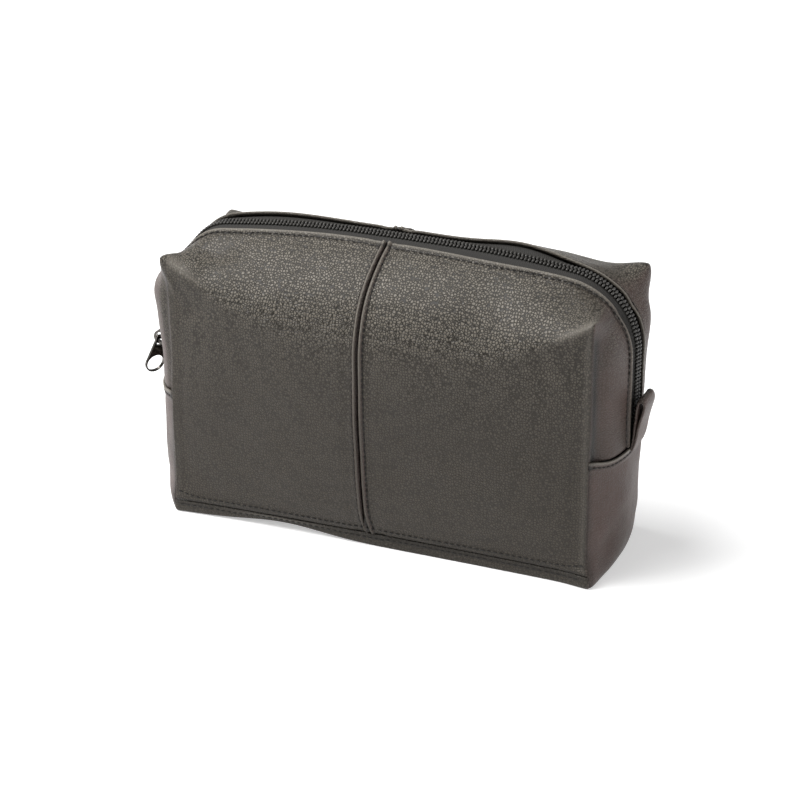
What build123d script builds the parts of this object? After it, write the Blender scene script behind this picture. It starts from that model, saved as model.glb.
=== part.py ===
import os
from math import atan2, cos, pi, radians, sin, sqrt, tan

from build123d import *

os.makedirs("parts", exist_ok=True)

# Leather toiletry bag with a zip over the top and down both ends.
# Millimetres. X runs along the bag, the front faces -Y, Z is up.
# The origin is on the floor under the middle of the base.

# Outline of the filled bag
crease_half = 112.5         # middle to a vertical crease, along X
depth_half = 38.0           # middle to the front at a crease, along Y
left_reach = 131.0          # middle to the zip line at the left end
right_reach = 124.0         # middle to the zip line at the right end
ridge_height = 158.0        # zip line at the middle of the top
ridge_radius = 690.0        # gentle crown of the zip line along the top
corner_radius = 38.5        # zip line where it turns down at each end
hem_height = 66.0           # top edge of the end gussets
base_wrap = 7.0             # how far the base panel comes up the walls

# Section across the bag, at the middle and at a crease
foot_half_middle = 31.0
foot_half_crease = 34.0
foot_rise = 6.0             # height at which the base has turned into a wall
foot_out = 4.0              # and how far out it has come there
wall_height = 80.0
wall_bulge = 8.0
straight_bow = 0.4          # slight bow that a wall keeps at a crease
shoulder_bulge = 5.0
shoulder_height_middle = 124.0
shoulder_height_crease = 140.0
crown_share = 0.52          # place of the top's middle point between ridge and shoulder
crown_rest = 0.25           # share of the lift that is left at a crease
crown_lift = 5.0            # how far that point stands above the straight line, at the middle
end_foot_height = 30.0      # height at which the end bulge is full
gusset_draw = 3.0           # how much less the gussets bulge than the zip line
stations = (-1, -0.92, -0.82, -0.5, 0, 0.5, 0.82, 0.92, 1)
bow_facets = 4              # straight stretches in each bow of a hidden surface
base_trim = 0.5             # the sections reach this much lower, and are cut off flat

# Leather, lining and seams
leather = 1.6
lining = 0.5
lining_gap = 0.9            # space between leather and lining at the base
lining_slack = 2.0          # how far its edges stay from the slider
lining_loose = 2.6          # how much further in its straight walls hang
lining_shoulder = 8.9       # its walls reach this far above the leather's shoulder
lining_drop = 5.0           # and its edges stay this far below the zip line
welt = 0.7                  # how far folded edges and seam ridges stand proud
seam_x = -6.0               # centre seam, a little to the left
seam_ridge = 3.2            # width of the ridge each side of the centre seam
seam_groove = 0.4           # gap between the two ridges
hem_width = 5.0
base_seam_width = 2.6
edge_fold = 3.0             # folded leather edge along the zip
zip_opening_half = 8.0      # middle to the leather's edge
flap_gap = 0.3              # space where the opening front meets the lower part

# Zip: coil chain, tapes and stops
tooth_pitch = 1.97
tooth_height = 2.3
tooth_proud = 0.8           # coil above the leather's surface
chain_half = 3.9            # half the width of the closed chain
tip_gap = 0.15              # middle of the chain to a tooth's tip
tip_width = 0.8
corner_facets = 8           # the coil's flat stretches round each corner
crown_facets = 14           # and along the top
cord_width = 1.3            # the coil's sewn back
tape = 0.6
tape_gap = 0.1
tape_inner = 2.2
tape_outer = 16.0
stop_length = 2.0
stop_gap = 0.5
stop_round = 0.6
spread = 1.6                # each coil's shift where it passes the slider's post

# Slider and puller
slider_z = 82.5
slider_length = 16.0
slider_nose_half = 7.0
slider_tail_half = 5.4
slider_corner = 1.0
slider_shoulder = 2.0       # height of the nose's slanted edges
nose_share = 0.62           # place of the nose's two tips across its half width
blade_chamfer = 0.4
nose_notch = 1.2
blade = 1.4
blade_lip = 0.1             # how far the outer blade stands out past the flanges
under_gap = 1.0             # tape to the inner blade
under_trim = 2.0            # how much narrower the inner blade is, each side
slider_clearance = 0.3
parting_above = 2.0         # the coils part from here, above the slider's middle
parting_below = 3.0         # and are fully parted here, below it
post_half = 1.35
post_length = 5.0
bail_z = 80.5
bail_standoff = 4.5         # blade to the puller's pivot
bail_inner = 2.8
bail_band = 1.2
bail_width = 2.4
puller_thickness = 1.3
puller_tilt = 16.5          # outward lean from hanging straight down
puller_turn = 32.0          # turned about its length, from lying flat along the zip
puller_reach = 16.2         # pivot to the middle of the round hole
puller_hole = 4.8           # radius
puller_rim = 0.8
eye_bar = 1.0               # half the height of the bar in the bail
eye_half = 2.2
eye_side = 1.1
eye_length = 4.2

# Finger tab at the right end
tab_width = 18.0
tab_root = 4.5              # length sewn against the hem
tab_rise = 2.0              # straight stretch above the hem
tab_length = 27.0
tab_lean = 12.0             # outward from upright
tab_layer = 1.2
tab_tip_radius = 2.2
tab_hollow = 1.0
tab_clearance = 0.4

far = 400.0                 # longer than the bag any way
tape_outer_face = leather + tape_gap
tape_inner_face = tape_outer_face + tape
lining_outer_face = leather + lining_gap
lining_inner_face = lining_outer_face + lining
lining_edge = slider_nose_half + lining_slack

# Circles of the zip line: the long crown, then one circle at each end
crown_centre = (0.0, ridge_height - ridge_radius)


def corner_centre(side):
    reach = right_reach if side > 0 else left_reach
    x = side * (reach - corner_radius)
    rise = sqrt((ridge_radius - corner_radius) ** 2 - x * x)
    return (x, crown_centre[1] + rise)


def crown_lean(side):
    # angle from upright of the line that joins the crown's centre to a corner's centre
    x, z = corner_centre(side)
    return atan2(abs(x), z - crown_centre[1])


def on_circle(centre, radius, angle):
    return (centre[0] + radius * cos(angle), centre[1] + radius * sin(angle))


def zip_height(x):
    # height of the zip line over a place on the top
    side = 1 if x > 0 else -1
    cx, cz = corner_centre(side)
    if abs(x) > abs(on_circle((cx, cz), corner_radius, pi / 2 - side * crown_lean(side))[0]):
        return cz + sqrt(max(corner_radius ** 2 - (x - cx) ** 2, 0.0))
    return crown_centre[1] + sqrt(ridge_radius ** 2 - x * x)


def zip_points(inset):
    # the zip line's arcs, left to right, each as start, middle and end
    left, right = corner_centre(-1), corner_centre(1)
    small, large = corner_radius - inset, ridge_radius - inset
    left_turn, right_turn = pi / 2 + crown_lean(-1), pi / 2 - crown_lean(1)
    return (
        [on_circle(left, small, a) for a in (pi, (pi + left_turn) / 2, left_turn)],
        [on_circle(crown_centre, large, a) for a in (left_turn, pi / 2, right_turn)],
        [on_circle(right, small, a) for a in (right_turn, right_turn / 2, 0.0)],
    )


def fade(share):
    # 1 at the middle of the bag, 0 at a crease
    return 1.0 - share * share


def bow(start, middle, end, smooth):
    # a shallow curve through three points, or straight stretches along it
    if smooth:
        ThreePointArc(start, middle, end)
        return
    points = []
    for step in range(bow_facets + 1):
        t = step / bow_facets
        shares = ((1 - t) * (1 - 2 * t), 4 * t * (1 - t), t * (2 * t - 1))
        places = zip(start, middle, end)
        points.append(tuple(sum(share * value for share, value in zip(shares, place)) for place in places))
    Polyline(*points)


def foot_points(foot, inset):
    # where the base turns up, and where it has turned into the wall
    slope = atan2(foot_rise, foot_out)
    base_edge = (foot - inset * tan(slope / 2), inset)
    return base_edge, (foot + foot_out - inset, foot_rise + inset * tan((pi / 2 - slope) / 2))


def section_edges(x, inset, smooth):
    # one section of the filled bag, drawn on the plane across X: base, feet, walls, top
    share = min(abs(x) / crease_half, 1.0)
    swell = fade(share)
    foot = foot_half_middle + (foot_half_crease - foot_half_middle) * (1 - swell)
    base_edge, wall_foot = foot_points(foot, inset)
    base_edge = (base_edge[0] - base_trim * foot_out / foot_rise, base_edge[1] - base_trim)
    wall_middle = (depth_half + wall_bulge * swell - inset + straight_bow, wall_height)
    shoulder_z = shoulder_height_crease + (shoulder_height_middle - shoulder_height_crease) * swell
    shoulder = (depth_half + shoulder_bulge * swell - inset, shoulder_z - inset * (1 - swell / 2))
    ridge = (0, zip_height(x) - inset)
    top_middle = (
        shoulder[0] * crown_share,
        ridge[1] + (shoulder[1] - ridge[1]) * crown_share + crown_lift * (1 - (1 - crown_rest) * (1 - swell)),
    )

    def side(point, sign):
        return (sign * point[0], point[1])

    Line(side(base_edge, -1), base_edge)
    Line(base_edge, wall_foot)
    bow(wall_foot, wall_middle, shoulder, smooth)
    bow(shoulder, top_middle, ridge, smooth)
    bow(ridge, side(top_middle, -1), side(shoulder, -1), smooth)
    bow(side(shoulder, -1), side(wall_middle, -1), side(wall_foot, -1), smooth)
    Line(side(wall_foot, -1), side(base_edge, -1))


def silhouette_edges(inset):
    # outline seen from the front: zip line, gussets that draw in, and feet
    left, crown, right = zip_points(inset)
    for start, middle, end in (left, crown, right):
        ThreePointArc(start, middle, end)
    for side, spring in ((-1, left[0]), (1, right[2])):
        hem_point = (spring[0], hem_height)
        gusset_point = (spring[0] - side * gusset_draw, end_foot_height)
        Line(spring, hem_point)
        ThreePointArc(hem_point, gusset_point, (side * (crease_half - inset), inset))
    Line((-(crease_half - inset), inset), (crease_half - inset, inset))


def end_plan_edges(side, inset):
    # outline of one end seen from above: a shallow bulge from crease to crease
    reach = (right_reach if side > 0 else left_reach) - inset
    crease, half = side * (crease_half - inset), depth_half - inset
    ThreePointArc((crease, -half), (side * reach, 0), (crease, half))
    Line((crease, half), (crease, -half))


def keep(x=(-far, far), y=(-far, far), z=(-far, far)):
    # keeps what lies in a box, in the part being built
    with Locations(((x[0] + x[1]) / 2, (y[0] + y[1]) / 2, (z[0] + z[1]) / 2)):
        Box(x[1] - x[0], y[1] - y[0], z[1] - z[0], mode=Mode.INTERSECT)


def envelope(inset):
    # closed form of the filled bag, pulled in by inset all round, and faceted where it is hidden
    reach, smooth = crease_half - inset, inset <= 0
    with BuildPart() as form:
        for share in stations:
            with BuildSketch(Plane.YZ.offset(share * reach)):
                with BuildLine():
                    section_edges(share * crease_half, inset, smooth)
                make_face()
        loft(ruled=True)
        keep(z=(inset, far))
    caps = []
    for side in (-1, 1):
        with BuildPart() as cap:
            with BuildSketch():
                with BuildLine():
                    end_plan_edges(side, inset)
                make_face()
            extrude(amount=far / 2)
            with BuildSketch(Plane.XZ):
                with BuildLine():
                    silhouette_edges(inset)
                make_face()
            extrude(amount=far / 2, both=True, mode=Mode.INTERSECT)
            with BuildSketch(Plane.YZ.offset(side * reach)):
                with BuildLine():
                    section_edges(side * crease_half, inset, smooth)
                make_face()
            extrude(amount=side * far / 2, mode=Mode.INTERSECT)
        caps.append(cap.part)
    with BuildPart() as whole:
        add(form.part)
        add(caps)
    return whole.part


def cut_out(form, x=(-far, far), y=(-far, far), z=(-far, far)):
    # a box-shaped piece of a form, as its own part
    with BuildPart() as piece:
        add(form)
        keep(x, y, z)
    return piece.part


def loose_form(inset):
    # the lining's form: straight walls and a straight slope up to its edges, inside the bulging leather
    base_edge, wall_foot = foot_points(foot_half_middle, inset)
    wall = depth_half - lining_loose - inset
    half = [
        base_edge, wall_foot, (wall, shoulder_height_middle + lining_shoulder - inset),
        (lining_edge, ridge_height - lining_drop - inset),
    ]
    with BuildPart() as form:
        with BuildSketch(Plane.YZ):
            Polygon(*half, *[(-y, z) for y, z in reversed(half)], align=None)
        extrude(amount=far / 2, both=True)
        with BuildSketch(Plane.XZ.shift_origin((0, 0, -lining_loose))):
            with BuildLine():
                silhouette_edges(inset + lining_loose)
            make_face()
        extrude(amount=far / 2, both=True, mode=Mode.INTERSECT)
        with BuildSketch():
            crease = crease_half - lining_loose - inset
            Rectangle(2 * crease, 2 * wall)
            for side in (-1, 1):
                with BuildLine():
                    end_plan_edges(side, inset + lining_loose)
                make_face()
        extrude(amount=far / 2, mode=Mode.INTERSECT)
    return form.part


def shell(outer, inner):
    with BuildPart() as skin:
        add(outer)
        add(inner, mode=Mode.SUBTRACT)
    return skin.part


leather_inner = envelope(leather)
leather_skin = shell(envelope(0), leather_inner)
welt_skin = shell(envelope(-welt), leather_inner)
tape_skin = shell(envelope(tape_outer_face), envelope(tape_inner_face))
lining_skin = shell(loose_form(lining_outer_face), loose_form(lining_inner_face))

front, back = (-far, 0), (0, far)
front_top, back_top = (-far, -zip_opening_half), (zip_opening_half, far)
left_part, right_part = (-far, seam_x), (seam_x, far)
flap_bottom = hem_height + flap_gap
left_ridge = (seam_x - seam_groove / 2 - seam_ridge, seam_x - seam_groove / 2)
right_ridge = (seam_x + seam_groove / 2, seam_x + seam_groove / 2 + seam_ridge)
front_fold = (-zip_opening_half - edge_fold, -zip_opening_half)
back_fold = (zip_opening_half, zip_opening_half + edge_fold)
between_creases = (-crease_half, crease_half)

# Base: the floor of the bag, its sides and the base seam's raised edge
with BuildPart() as base_panel:
    add(cut_out(leather_skin, x=between_creases, z=(-1, base_wrap)))
    add(cut_out(welt_skin, x=between_creases, z=(base_wrap - base_seam_width, base_wrap)))

# End gussets, each with a hem folded over along its top edge
gussets = {}
for name, reach in (("left", (-far, -crease_half)), ("right", (crease_half, far))):
    with BuildPart() as gusset:
        add(cut_out(leather_skin, x=reach, z=(-1, hem_height)))
        add(cut_out(welt_skin, x=reach, z=(hem_height - hem_width, hem_height)))
    gussets[name] = gusset.part

# Leather panels, two in front and two behind. The front ones bend where the mouth
# opens, so each is a lower and an upper piece.
lower_panels, upper_panels, back_panels = {}, {}, {}
for name, reach, ridge in (("left", left_part, left_ridge), ("right", right_part, right_ridge)):
    between = (max(reach[0], -crease_half), min(reach[1], crease_half))
    with BuildPart() as lower_panel:
        add(cut_out(leather_skin, x=between, y=front, z=(base_wrap, hem_height)))
        add(cut_out(welt_skin, x=ridge, y=front, z=(base_wrap, hem_height)))
    lower_panels[name] = lower_panel.part
    with BuildPart() as upper_panel:
        add(cut_out(leather_skin, x=reach, y=front_top, z=(flap_bottom, far)))
        add(cut_out(welt_skin, x=ridge, y=front_top, z=(flap_bottom, far)))
        add(cut_out(welt_skin, x=reach, y=front_fold, z=(flap_bottom, far)))
    upper_panels[name] = upper_panel.part
    with BuildPart() as back_panel:
        add(cut_out(leather_skin, x=between, y=back, z=(base_wrap, hem_height)))
        add(cut_out(leather_skin, x=reach, y=back_top, z=(hem_height, far)))
        add(cut_out(welt_skin, x=ridge, y=back_top, z=(base_wrap, far)))
        add(cut_out(welt_skin, x=reach, y=back_fold, z=(hem_height, far)))
    back_panels[name] = back_panel.part

# Lining: a tub below the hem's height, and one piece behind each side of the mouth
with BuildPart() as lining_lower:
    add(cut_out(lining_skin, z=(0, hem_height)))
with BuildPart() as lining_front:
    add(cut_out(lining_skin, y=(-far, -lining_edge), z=(flap_bottom, far)))
with BuildPart() as lining_back:
    add(cut_out(lining_skin, y=(lining_edge, far), z=(hem_height, far)))

# Zip tapes, under the leather's edges
with BuildPart() as zip_tape_front:
    add(cut_out(tape_skin, y=(-tape_outer, -tape_inner), z=(flap_bottom, far)))
with BuildPart() as zip_tape_back:
    add(cut_out(tape_skin, y=(tape_inner, tape_outer), z=(hem_height, far)))


# Coils. Notches at one pitch along the zip line leave the teeth, and the two sides mesh by
# half a pitch. At the left end the coils run straight up from the stops to the corner.
coil_bottom = hem_height + stop_gap + stop_length + stop_gap
parting_top = slider_z + parting_above
parting_bottom = slider_z - parting_below
left_spring = corner_centre(-1)[1]
right_spring = corner_centre(1)[1]
tooth_middle = tooth_proud - tooth_height / 2
left_angle = pi / 2 - crown_lean(-1)
right_angle = pi / 2 - crown_lean(1)
corner_run = corner_radius + tooth_middle
crown_run = ridge_radius + tooth_middle


def zip_place(distance):
    # place and direction on the zip line, a distance past the top of the left end
    left, right = corner_centre(-1), corner_centre(1)
    if distance < 0:
        return (-left_reach - tooth_middle, left_spring + distance), pi
    runs = (corner_run * left_angle, crown_run * (crown_lean(-1) + crown_lean(1)), corner_run * right_angle)
    if distance < runs[0]:
        angle = pi - distance / corner_run
        return on_circle(left, corner_run, angle), angle
    distance -= runs[0]
    if distance < runs[1]:
        angle = pi / 2 + crown_lean(-1) - distance / crown_run
        return on_circle(crown_centre, crown_run, angle), angle
    distance -= runs[1]
    if distance < runs[2]:
        angle = right_angle - distance / corner_run
        return on_circle(right, corner_run, angle), angle
    return (right_reach + tooth_middle, right_spring - (distance - runs[2])), 0.0


zip_run = (
    corner_run * (left_angle + right_angle)
    + crown_run * (crown_lean(-1) + crown_lean(1))
    + right_spring - coil_bottom
)


def notch_planes(offset):
    # a plane on each gap between teeth, its X along the zip line and its Z out of the bag
    planes = []
    distance = -offset
    while distance < zip_run:
        (x, z), angle = zip_place(distance)
        planes.append(Plane((x, 0, z), x_dir=(sin(angle), 0, -cos(angle)), z_dir=(cos(angle), 0, sin(angle))))
        distance += tooth_pitch
    return planes


def notch_points(side):
    # a gap between two teeth, as places along and across the zip: it runs out past their tips
    root, tip = chain_half - cord_width, tip_gap
    mouth = (tooth_pitch - tip_width) / 2 * (root + tip) / (root - tip)
    return [(0, side * root), (mouth, -side * tip), (-mouth, -side * tip)]


def zip_facets(inset, start):
    # flat stretches along the zip line, from a height at the left end to the right stop
    left_turn, right_turn = pi / 2 + crown_lean(-1), pi / 2 - crown_lean(1)
    runs = (
        (corner_centre(-1), corner_radius, pi, left_turn, corner_facets),
        (crown_centre, ridge_radius, left_turn, right_turn, crown_facets),
        (corner_centre(1), corner_radius, right_turn, 0, corner_facets),
    )
    points = [(inset - left_reach, start)]
    for centre, radius, first, last, count in runs:
        for step in range(count):
            points.append(on_circle(centre, radius - inset, first + (last - first) * step / count))
    points += [(right_reach - inset, right_spring), (right_reach - inset, coil_bottom)]
    return points if start < left_spring else points[1:]


def shift(z):
    # how far a coil stands off the middle at the left end, where the slider parts it
    return spread * min(max((parting_top - z) / (parting_top - parting_bottom), 0), 1)


def long_coil(side, offset):
    # the long run of one coil: a strip notched in from its inner edge
    with BuildPart() as coil:
        with BuildSketch(Plane.XZ.offset(-side * tip_gap)):
            outer = zip_facets(-tooth_proud, left_spring - offset)
            inner = zip_facets(tooth_height - tooth_proud, left_spring - offset)
            Polygon(*outer, *reversed(inner), align=None)
        extrude(amount=-side * (chain_half - tip_gap))
        with BuildSketch(*notch_planes(offset)):
            Polygon(*notch_points(side), align=None)
        extrude(amount=tooth_height, both=True, mode=Mode.SUBTRACT, clean=False)
    return coil.part


def end_coil(side, offset):
    # the stretch at the left end, which parts to pass the slider's post, and its top stop
    top = left_spring - offset
    with BuildPart() as coil:
        with BuildSketch(Plane.YZ.offset(-left_reach - tooth_proud)):
            levels = (top, parting_top, parting_bottom, coil_bottom)
            outer = [(side * (chain_half + shift(z)), z) for z in levels]
            inner = [(side * (tip_gap + shift(z)), z) for z in reversed(levels)]
            Polygon(*outer, *inner, align=None)
            z = top
            while z > coil_bottom:
                with Locations((side * shift(z), z)):
                    notch = [(across, along) for along, across in notch_points(side)]
                    Polygon(*notch, align=None, mode=Mode.SUBTRACT)
                z -= tooth_pitch
            with Locations((side * (spread + (chain_half + tip_gap) / 2), coil_bottom - stop_length / 2)):
                Rectangle(chain_half - tip_gap, stop_length)
        extrude(amount=tooth_height)
    return coil.part


zip_coil_front = long_coil(-1, 0)
zip_coil_back = long_coil(1, tooth_pitch / 2)
zip_coil_front_end = end_coil(-1, 0)
zip_coil_back_end = end_coil(1, tooth_pitch / 2)

# Bottom stop, a small bridge over both coils' ends at the right end
stop_inner = right_reach - tape_outer_face + slider_clearance
stop_outer = right_reach + tooth_proud
with BuildPart() as zip_bottom_stop:
    with Locations(((stop_inner + stop_outer) / 2, 0, hem_height + stop_gap + stop_length / 2)):
        Box(stop_outer - stop_inner, 2 * chain_half, stop_length)
    fillet(zip_bottom_stop.edges().filter_by(Axis.Z), stop_round)


# Slider: two blades joined by a post, flanges round the coils, and the bail
blade_inside = -(left_reach + tooth_proud + slider_clearance)
blade_outside = blade_inside - blade
flange_foot = -(left_reach - tape_outer_face + slider_clearance)
under_blade = -(left_reach - tape_inner_face) + under_gap
pivot_x = blade_outside - bail_standoff
bail_outer = bail_inner + bail_band
channel_tail = chain_half + slider_clearance
channel_nose = channel_tail + spread


def slider_outline(trim):
    # a blade seen from outside, wide at the nose, which points down
    half_length = slider_length / 2
    nose, tail = slider_nose_half - trim, slider_tail_half - trim
    points = [(0, nose_notch - half_length), (nose * nose_share, -half_length)]
    points.append((nose, slider_shoulder - half_length))
    points += [(nose, parting_bottom - slider_z), (tail, parting_top - slider_z), (tail, half_length)]
    points += [(-y, z) for y, z in reversed(points[1:])]
    Polygon(*points, align=None)


with BuildPart() as slider_body:
    with BuildSketch(Plane.YZ.offset(blade_outside)):
        with Locations((0, slider_z)):
            slider_outline(0)
    extrude(amount=blade)
    fillet(slider_body.edges().filter_by(Axis.X), slider_corner)
    chamfer(slider_body.faces().sort_by(Axis.X)[0].edges(), blade_chamfer)
    with BuildSketch(Plane.YZ.offset(blade_inside)):
        with Locations((0, slider_z)):
            slider_outline(blade_lip)
            reach = slider_length
            parts_at, whole_at = parting_bottom - slider_z, parting_top - slider_z
            Polygon(
                (-channel_nose, -reach), (channel_nose, -reach), (channel_nose, parts_at),
                (channel_tail, whole_at), (channel_tail, reach), (-channel_tail, reach),
                (-channel_tail, whole_at), (-channel_nose, parts_at), align=None, mode=Mode.SUBTRACT,
            )
    extrude(amount=flange_foot - blade_inside)
    with BuildSketch(Plane.YZ.offset(under_blade)):
        with Locations((0, slider_z)):
            slider_outline(under_trim)
    extrude(amount=blade)
    with BuildSketch(Plane.YZ.offset(blade_inside)):
        post_z = slider_z - slider_length / 2 + post_length / 2 + nose_notch
        with Locations((0, post_z)):
            Polygon(
                (0, -post_length / 2), (post_half, -post_length / 5), (post_half, post_length / 5),
                (0, post_length / 2), (-post_half, post_length / 5), (-post_half, -post_length / 5),
                align=None,
            )
    extrude(amount=under_blade - blade_inside)
    with BuildSketch(Plane.XZ):
        for radius, mode in ((bail_outer, Mode.ADD), (bail_inner, Mode.SUBTRACT)):
            with Locations((pivot_x, bail_z)):
                Circle(radius, mode=mode)
            with Locations((pivot_x + bail_standoff / 2, bail_z)):
                Rectangle(bail_standoff, 2 * radius, mode=mode)
    extrude(amount=bail_width / 2, both=True)

# Puller: a flared plate hung in the bail, with a round hole at its wide end
lean, turn = radians(puller_tilt), radians(puller_turn)
puller_down = Vector(-sin(lean), 0, -cos(lean))
puller_across = Vector(sin(turn) * cos(lean), cos(turn), -sin(turn) * sin(lean))
puller_plane = Plane((pivot_x, 0, bail_z), x_dir=puller_across, z_dir=puller_down.cross(puller_across))
head_half = eye_half + eye_side
end_radius = puller_hole + puller_rim
slot_middle = -(eye_bar + eye_length / 2)
with BuildPart() as puller:
    with BuildSketch(puller_plane):
        with Locations((0, slot_middle)):
            RectangleRounded(2 * head_half, eye_length + 4 * eye_bar, eye_bar)
        Polygon(
            (-head_half, slot_middle), (head_half, slot_middle), (end_radius, -puller_reach),
            (-end_radius, -puller_reach), align=None,
        )
        with Locations((0, -puller_reach)):
            Circle(end_radius)
            Circle(puller_hole, mode=Mode.SUBTRACT)
        with Locations((0, slot_middle)):
            RectangleRounded(2 * eye_half, eye_length, eye_bar / 2, mode=Mode.SUBTRACT)
    extrude(amount=puller_thickness / 2, both=True)

# Finger tab: a leather strap folded over into a loop, sewn to the right gusset's hem
tab_x = right_reach + welt + tab_clearance + tab_layer
tab_foot = (tab_x, hem_height - tab_root + tab_layer)
tab_bend = (tab_x, hem_height + tab_rise)
tab_slope = radians(tab_lean)
tab_run = tab_length - tab_root - tab_rise
tab_tip = (tab_x + tab_run * sin(tab_slope), tab_bend[1] + tab_run * cos(tab_slope))


def strap_outline(thin, wide):
    # the strap's side view: even from its foot to the bend, then wider to its rounded tip
    across = (cos(tab_slope), -sin(tab_slope))
    Polygon(
        (tab_foot[0] - thin, tab_foot[1]), (tab_foot[0] + thin, tab_foot[1]),
        (tab_bend[0] + thin, tab_bend[1]),
        (tab_tip[0] + wide * across[0], tab_tip[1] + wide * across[1]),
        (tab_tip[0] - wide * across[0], tab_tip[1] - wide * across[1]),
        (tab_bend[0] - thin, tab_bend[1]), align=None,
    )


with BuildPart() as finger_tab:
    with BuildSketch(Plane.XZ):
        strap_outline(tab_layer, tab_tip_radius)
        with Locations(tab_tip):
            Circle(tab_tip_radius)
        with Locations(tab_foot):
            Circle(tab_layer)
    extrude(amount=tab_width / 2, both=True)
    with BuildSketch(Plane.XZ):
        Polygon(
            tab_bend, (tab_tip[0] + tab_hollow * cos(tab_slope), tab_tip[1] - tab_hollow * sin(tab_slope)),
            (tab_tip[0] - tab_hollow * cos(tab_slope), tab_tip[1] + tab_hollow * sin(tab_slope)), align=None,
        )
        with Locations(tab_tip):
            Circle(tab_hollow)
    extrude(amount=tab_width / 2, both=True, mode=Mode.SUBTRACT)

pieces = {
    "base_panel": base_panel.part,
    "end_gusset_left": gussets["left"],
    "end_gusset_right": gussets["right"],
    "front_panel_left_lower": lower_panels["left"],
    "front_panel_right_lower": lower_panels["right"],
    "front_panel_left_upper": upper_panels["left"],
    "front_panel_right_upper": upper_panels["right"],
    "back_panel_left": back_panels["left"],
    "back_panel_right": back_panels["right"],
    "lining_lower": lining_lower.part,
    "lining_front": lining_front.part,
    "lining_back": lining_back.part,
    "zip_tape_front": zip_tape_front.part,
    "zip_tape_back": zip_tape_back.part,
    "zip_coil_front": zip_coil_front,
    "zip_coil_back": zip_coil_back,
    "zip_coil_front_end": zip_coil_front_end,
    "zip_coil_back_end": zip_coil_back_end,
    "zip_bottom_stop": zip_bottom_stop.part,
    "slider_body": slider_body.part,
    "puller": puller.part,
    "finger_tab": finger_tab.part,
}
for name, piece in pieces.items():
    piece.label = name
    export_step(piece, f"parts/{name}.step")
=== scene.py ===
import bpy
import bmesh
import numpy as np
from math import atan2, cos, pi, radians, sin, sqrt
from mathutils import Matrix, Vector
from mathutils.bvhtree import BVHTree
from mathutils.noise import noise


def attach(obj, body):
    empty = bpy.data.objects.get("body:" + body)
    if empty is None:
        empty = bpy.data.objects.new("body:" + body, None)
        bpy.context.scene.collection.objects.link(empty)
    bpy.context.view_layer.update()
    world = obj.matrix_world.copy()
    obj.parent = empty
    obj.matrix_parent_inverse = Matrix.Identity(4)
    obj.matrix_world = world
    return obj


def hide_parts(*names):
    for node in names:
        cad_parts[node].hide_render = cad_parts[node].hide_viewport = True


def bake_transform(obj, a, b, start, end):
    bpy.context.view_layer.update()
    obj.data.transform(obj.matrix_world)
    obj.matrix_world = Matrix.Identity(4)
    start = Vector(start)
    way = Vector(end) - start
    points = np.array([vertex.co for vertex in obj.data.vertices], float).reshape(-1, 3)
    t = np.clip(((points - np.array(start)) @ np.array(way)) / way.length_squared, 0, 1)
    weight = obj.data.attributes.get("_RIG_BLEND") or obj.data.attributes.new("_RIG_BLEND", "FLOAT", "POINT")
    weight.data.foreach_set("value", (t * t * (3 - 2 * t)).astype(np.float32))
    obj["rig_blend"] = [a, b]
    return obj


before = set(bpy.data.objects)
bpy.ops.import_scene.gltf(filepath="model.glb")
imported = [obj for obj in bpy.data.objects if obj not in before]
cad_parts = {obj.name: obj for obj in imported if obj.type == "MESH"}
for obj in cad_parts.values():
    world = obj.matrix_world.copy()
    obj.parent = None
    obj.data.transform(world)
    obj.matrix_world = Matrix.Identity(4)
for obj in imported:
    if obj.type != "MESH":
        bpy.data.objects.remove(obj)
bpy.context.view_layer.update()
mm = 0.001


# numbers that the whole bag shares, in millimetres

bagForm = {
    "creaseHalf": 112.5,
    "depthHalf": 38.0,
    "leftReach": 131.0,
    "rightReach": 124.0,
    "ridgeHeight": 158.0,
    "ridgeRadius": 690.0,
    "cornerRadius": 38.5,
    "hemHeight": 66.0,
    "hemShare": 0.45,           # the hem's place between base seam and shoulder
    "baseWrap": 7.0,
    "zipOpening": 8.0,
    "seamX": -6.0,
    "shoulderMiddle": 108.0,
    "earHeight": 140.0,
    "leatherThickness": 1.4,
}

# section at the middle, as (distance from the zip's plane, height)
wallMiddle = [(36.0, 7), (39.3, 18.5), (42.0, 34), (43.8, 51), (45.1, 68), (46.2, 84.6), (46.7, 98), (46.6, 108)]
topMiddle = [(46.6, 108), (46.2, 114), (45.2, 119.5), (43.6, 124.5), (41.0, 130), (36.6, 136.4),
             (30.0, 143.2), (22.0, 148.9), (14.0, 153.2), (7.0, 155.9)]


def smoothStep(low, high, value):
    t = np.clip((value - low) / (high - low), 0.0, 1.0)
    return t * t * (3 - 2 * t)


def ramp(low, high, value):
    # the same for a single number
    return float(smoothStep(low, high, value))


def bump(centre, width, value):
    return np.exp(-((value - centre) / width) ** 2)


def profile(shape, value):
    # bumps and grooves added up, each given as its place, width and height
    return sum(height * bump(place, width, value) for place, width, height in shape)


def distanceTo(spot, p):
    return sqrt(sum((a - b) ** 2 for a, b in zip(spot, p)))


def reachOf(end):
    return bagForm["rightReach"] if end > 0 else bagForm["leftReach"]


crownZ = bagForm["ridgeHeight"] - bagForm["ridgeRadius"]


def cornerCentre(end):
    x = end * (reachOf(end) - bagForm["cornerRadius"])
    return x, crownZ + sqrt((bagForm["ridgeRadius"] - bagForm["cornerRadius"]) ** 2 - x * x)


zipSunk = {"corner": [(2.42, 0.42, 4.3)], "middle": [(5, 42, 1.3)]}


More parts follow.
